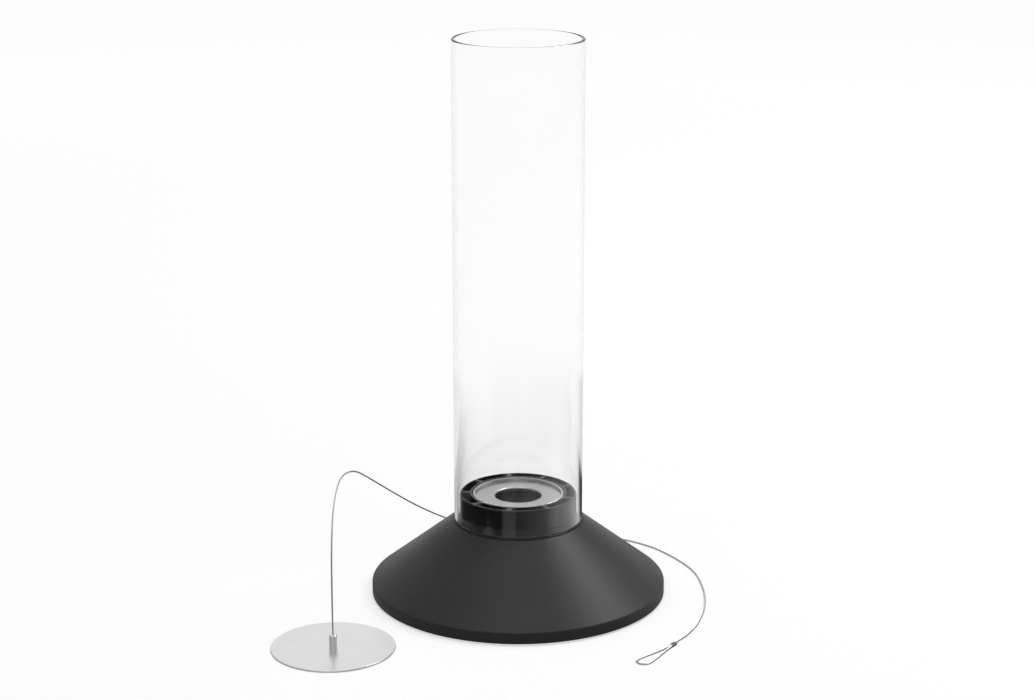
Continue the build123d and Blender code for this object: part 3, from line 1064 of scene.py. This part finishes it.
@dataclass
class Studio:
    """Camera, floor, surrounding light and softboxes.

    What gloss sees of the floor is kept apart from what the camera sees, as painted reflections. Near the
    object it is a mat of a few dark, dim and bright cards painted for gloss only, given as degrees round from
    the front and brightness, and beyond it is white.
    """

    camera_place: Triple = (-0.00066, -2.0646, 0.8197)
    camera_pitch: float = 74.203
    lens: float = 80.916
    clip_end: float = 100.0
    floor_half: float = 15.0
    floor_colour: str = "#9c9c9c"
    floor_glow: float = 0.73
    far_glow: float = 0.83
    glow_reach: Pair = (0.4, 3.0)
    sky: float = 0.5
    room_front: float = 0.6
    room_depth: Pair = (-0.3, 0.45)
    room_side: float = 0.65
    room_width: float = 0.6
    # Painted contact shadow: how far occlusion looks, and the occlusion over which it cuts the floor's glow
    contact_shade_reach: float = 0.004
    contact_shade_open: Pair = (0.3, 0.75)
    # Painted reflection mat: how far it reaches, where it fades to white behind, and its even tone on what is
    # close by
    mat_reach: Pair = (0.5, 0.8)
    mat_back: Pair = (0.29, 0.37)
    mat_back_level: float = 0.78
    close_by: float = 0.035
    close_level: float = 0.4
    # Painted reflections: the floor's brightness as gloss sees it, by degrees round from the front
    mat: tuple[Pair, ...] = (
        (-137, 0.6), (-128, 0.04), (-28, 0.04), (-24, 0.32), (-6, 0.32), (-2, 0.13),
        (45, 0.35), (66, 0.88), (122, 0.85), (142, 0.05), (165, 0.05), (180, 0.6),
    )
    lamps: tuple[Lamp, ...] = (
        Lamp("key_softbox", (1.5, 0.7, 2.2), (0.0, 0.0, 0.08), (1.2, 1.0), 7.0),
        Lamp("top_softbox", (-0.3, -0.6, 2.4), (0.0, 0.0, 0.1), (1.6, 1.6), 1.0),
    )

    def camera(self) -> None:
        """The camera that took the photograph's view."""
        made = bpy.data.cameras.new("camera")
        made.lens = self.lens
        made.clip_end = self.clip_end
        held = bpy.data.objects.new("camera", made)
        held.location = self.camera_place
        held.rotation_euler = (math.radians(self.camera_pitch), 0.0, 0.0)
        bpy.context.scene.collection.objects.link(held)
        bpy.context.scene.camera = held

    def rays(self, nodes: Nodes) -> tuple[Socket, Socket]:
        """Tells apart the rays that look at the background.

        Args:
            nodes: the floor's or the world's.

        Returns:
            One for rays that look at it before any dull bounce, and one for rays that met gloss on their way.
        """
        ray = nodes.add("ShaderNodeLightPath").outputs
        looking = ray["Is Camera Ray"]
        for kind in ("Is Transmission Ray", "Is Glossy Ray"):
            looking = nodes.math("MAXIMUM", looking, ray[kind])
        before_dull = nodes.math("LESS_THAN", ray["Diffuse Depth"], 0.5)
        gloss = nodes.math("GREATER_THAN", ray["Glossy Depth"], 0.5)
        return nodes.math("MULTIPLY", looking, before_dull), gloss

    def painted_reflection_cards(self, nodes: Nodes, place: Socket) -> Socket:
        """The mat's painted reflection cards, one after another round the object.

        Args:
            nodes: the floor's.
            place: the place on the floor, in metres.

        Returns:
            Their brightness.
        """
        parts = nodes.add("ShaderNodeSeparateXYZ", {0: place}).outputs
        angle = nodes.math("ARCTAN2", parts["X"], nodes.math("MULTIPLY", parts["Y"], -1.0))
        ramp = nodes.add("ShaderNodeValToRGB", {0: nodes.ranged(angle, (-math.pi, math.pi))})
        stops = ramp.color_ramp.elements
        while len(stops) < len(self.mat):
            stops.new(0.5)
        for stop, (degrees, level) in zip(stops, self.mat):
            stop.position = 0.5 + degrees / 360
            stop.color = (level, level, level, 1.0)
        return ramp.outputs["Color"]

    def near_floor(self, nodes: Nodes, place: Socket) -> Socket:
        """What gloss sees of the floor, all of it painted reflection: the mat, white beyond it, and one even
        tone on what is close by.

        Args:
            nodes: the floor's.
            place: the place on the floor, in metres.

        Returns:
            The share of the floor's brightness.
        """
        back = nodes.add("ShaderNodeSeparateXYZ", {0: place}).outputs["Y"]
        behind = nodes.ranged(back, self.mat_back, (0.0, self.mat_back_level), "SMOOTHSTEP")
        beyond = nodes.ranged(nodes.length(place), self.mat_reach, way="SMOOTHSTEP")
        mat = nodes.mixed(nodes.math("MAXIMUM", behind, beyond), self.painted_reflection_cards(nodes, place), WHITE)
        # Painted reflection: gloss that meets the floor within a few centimetres sees one even dim tone
        path = nodes.add("ShaderNodeLightPath").outputs["Ray Length"]
        close = nodes.math("LESS_THAN", path, self.close_by)
        return nodes.mixed(close, mat, (self.close_level, self.close_level, self.close_level, 1.0))

    def glow(self, nodes: Nodes, place: Socket, looking: Socket, gloss: Socket) -> Socket:
        """How much the floor shines of itself, so that it looks white: less near by, and none under an edge,
        which paints a contact shadow there.

        Args:
            nodes: the floor's.
            place: the place on the floor, in metres.
            looking: one for rays that look at the background.
            gloss: one for rays that met gloss on their way.

        Returns:
            The strength of its glow.
        """
        # Painted contact shadow: occlusion within a few millimetres cuts the glow under and beside an edge
        near = nodes.add("ShaderNodeAmbientOcclusion", {"Distance": self.contact_shade_reach}, samples=16)
        shown = nodes.math("MAXIMUM", nodes.ranged(near.outputs["AO"], self.contact_shade_open), gloss)
        level = nodes.ranged(nodes.length(place), self.glow_reach, (self.floor_glow, self.far_glow))
        return nodes.math("MULTIPLY", nodes.math("MULTIPLY", looking, shown), level)

    def floor(self) -> None:
        """A plain pale floor that keeps the object's shadow and is open from below."""
        side = np.linspace(-self.floor_half, self.floor_half, 3) / MM
        x, y = np.meshgrid(side, side)
        made = piece("floor", [grid_shell(np.stack([x, y, 0 * x], axis=-1), False, False)])
        surface = bpy.data.materials.new("painted_floor")
        nodes = Nodes.emptied(surface)
        looking, gloss = self.rays(nodes)
        place = nodes.add("ShaderNodeTexCoord").outputs["Object"]
        share = nodes.mixed(gloss, WHITE, self.near_floor(nodes, place))
        tint = nodes.mixed(1.0, linear(self.floor_colour), share, blend_type="MULTIPLY")
        paint = nodes.add("ShaderNodeBsdfDiffuse", {"Color": tint})
        values = {"Color": share, "Strength": self.glow(nodes, place, looking, gloss)}
        shine = nodes.add("ShaderNodeEmission", values)
        both = nodes.add("ShaderNodeAddShader", {0: paint.outputs[0], 1: shine.outputs[0]})
        under = nodes.add("ShaderNodeNewGeometry").outputs["Backfacing"]
        clear = nodes.add("ShaderNodeBsdfTransparent")
        either = {0: under, 1: both.outputs[0], 2: clear.outputs[0]}
        shown = nodes.add("ShaderNodeMixShader", either)
        nodes.add("ShaderNodeOutputMaterial", {"Surface": shown.outputs[0]})
        made.data.materials.append(surface)

    def surroundings(self) -> None:
        """White where the background shows, a darker room round gloss, and plain soft light for the rest."""
        world = bpy.data.worlds.new("studio")
        nodes = Nodes.emptied(world)
        looking, gloss = self.rays(nodes)
        way = nodes.add("ShaderNodeTexCoord").outputs["Generated"]
        parts = nodes.add("ShaderNodeSeparateXYZ", {0: way}).outputs
        depth = nodes.ranged(parts["Y"], self.room_depth, (self.room_front, 1.0), "SMOOTHSTEP")
        aside = nodes.math("ABSOLUTE", parts["X"])
        side = nodes.ranged(aside, (0.0, self.room_width), (1.0, self.room_side), "SMOOTHSTEP")
        share = {0: gloss, 2: 1.0, 3: nodes.math("MULTIPLY", depth, side)}
        room = nodes.add("ShaderNodeMix", share, data_type="FLOAT").outputs[0]
        level = nodes.add("ShaderNodeMix", {0: looking, 2: self.sky, 3: room}, data_type="FLOAT")
        light = nodes.add("ShaderNodeBackground", {"Strength": level.outputs[0]})
        nodes.add("ShaderNodeOutputWorld", {"Surface": light.outputs[0]})
        bpy.context.scene.world = world

    def build(self) -> None:
        """Sets the studio up."""
        self.camera()
        self.floor()
        self.surroundings()
        for lamp in self.lamps:
            lamp.build()
        bpy.context.scene.view_settings.view_transform = "Standard"


def main() -> None:
    """Builds the studio and each sub-assembly in order."""
    logging.basicConfig(level=logging.INFO, format="%(name)s: %(message)s")
    for part in (Studio(), ConeBase(), AirInsert(), Chimney(), Burner(), Snuffer()):
        part.build()


if __name__ == "__main__":
    main()
